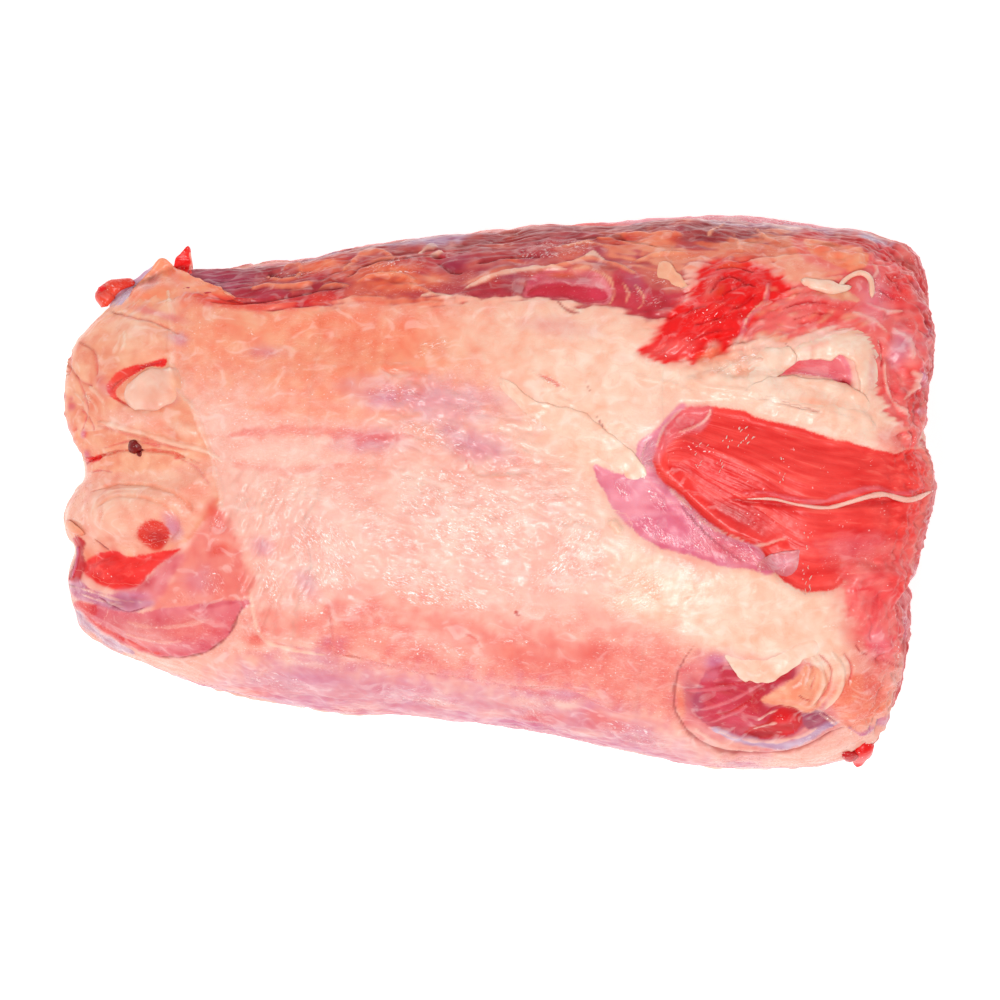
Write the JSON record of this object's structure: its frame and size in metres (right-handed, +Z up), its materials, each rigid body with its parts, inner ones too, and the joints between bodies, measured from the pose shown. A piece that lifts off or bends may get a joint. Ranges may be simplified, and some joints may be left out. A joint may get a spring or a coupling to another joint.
{
  "type": "raw veal shank",
  "caption": "Trimmed raw veal shank lying on its side: a thick tapering cut of leg muscle under fat and membrane, for braising or as stock in a butcher's display.",
  "frame": {"origin": "under the middle of the shank's box, on the surface that it lies on", "axes": "+X along the shank from the knuckle end to the cut end, +Y across it towards its back, +Z up"},
  "size_m": [0.2382, 0.1524, 0.0915],
  "materials": {
    "raw_veal": "moist raw meat: cream fat and pink membrane over red muscle, with a wet gloss"
  },
  "bodies": {
    "root": {"veal_shank": "raw_veal"}
  },
  "joints": []
}
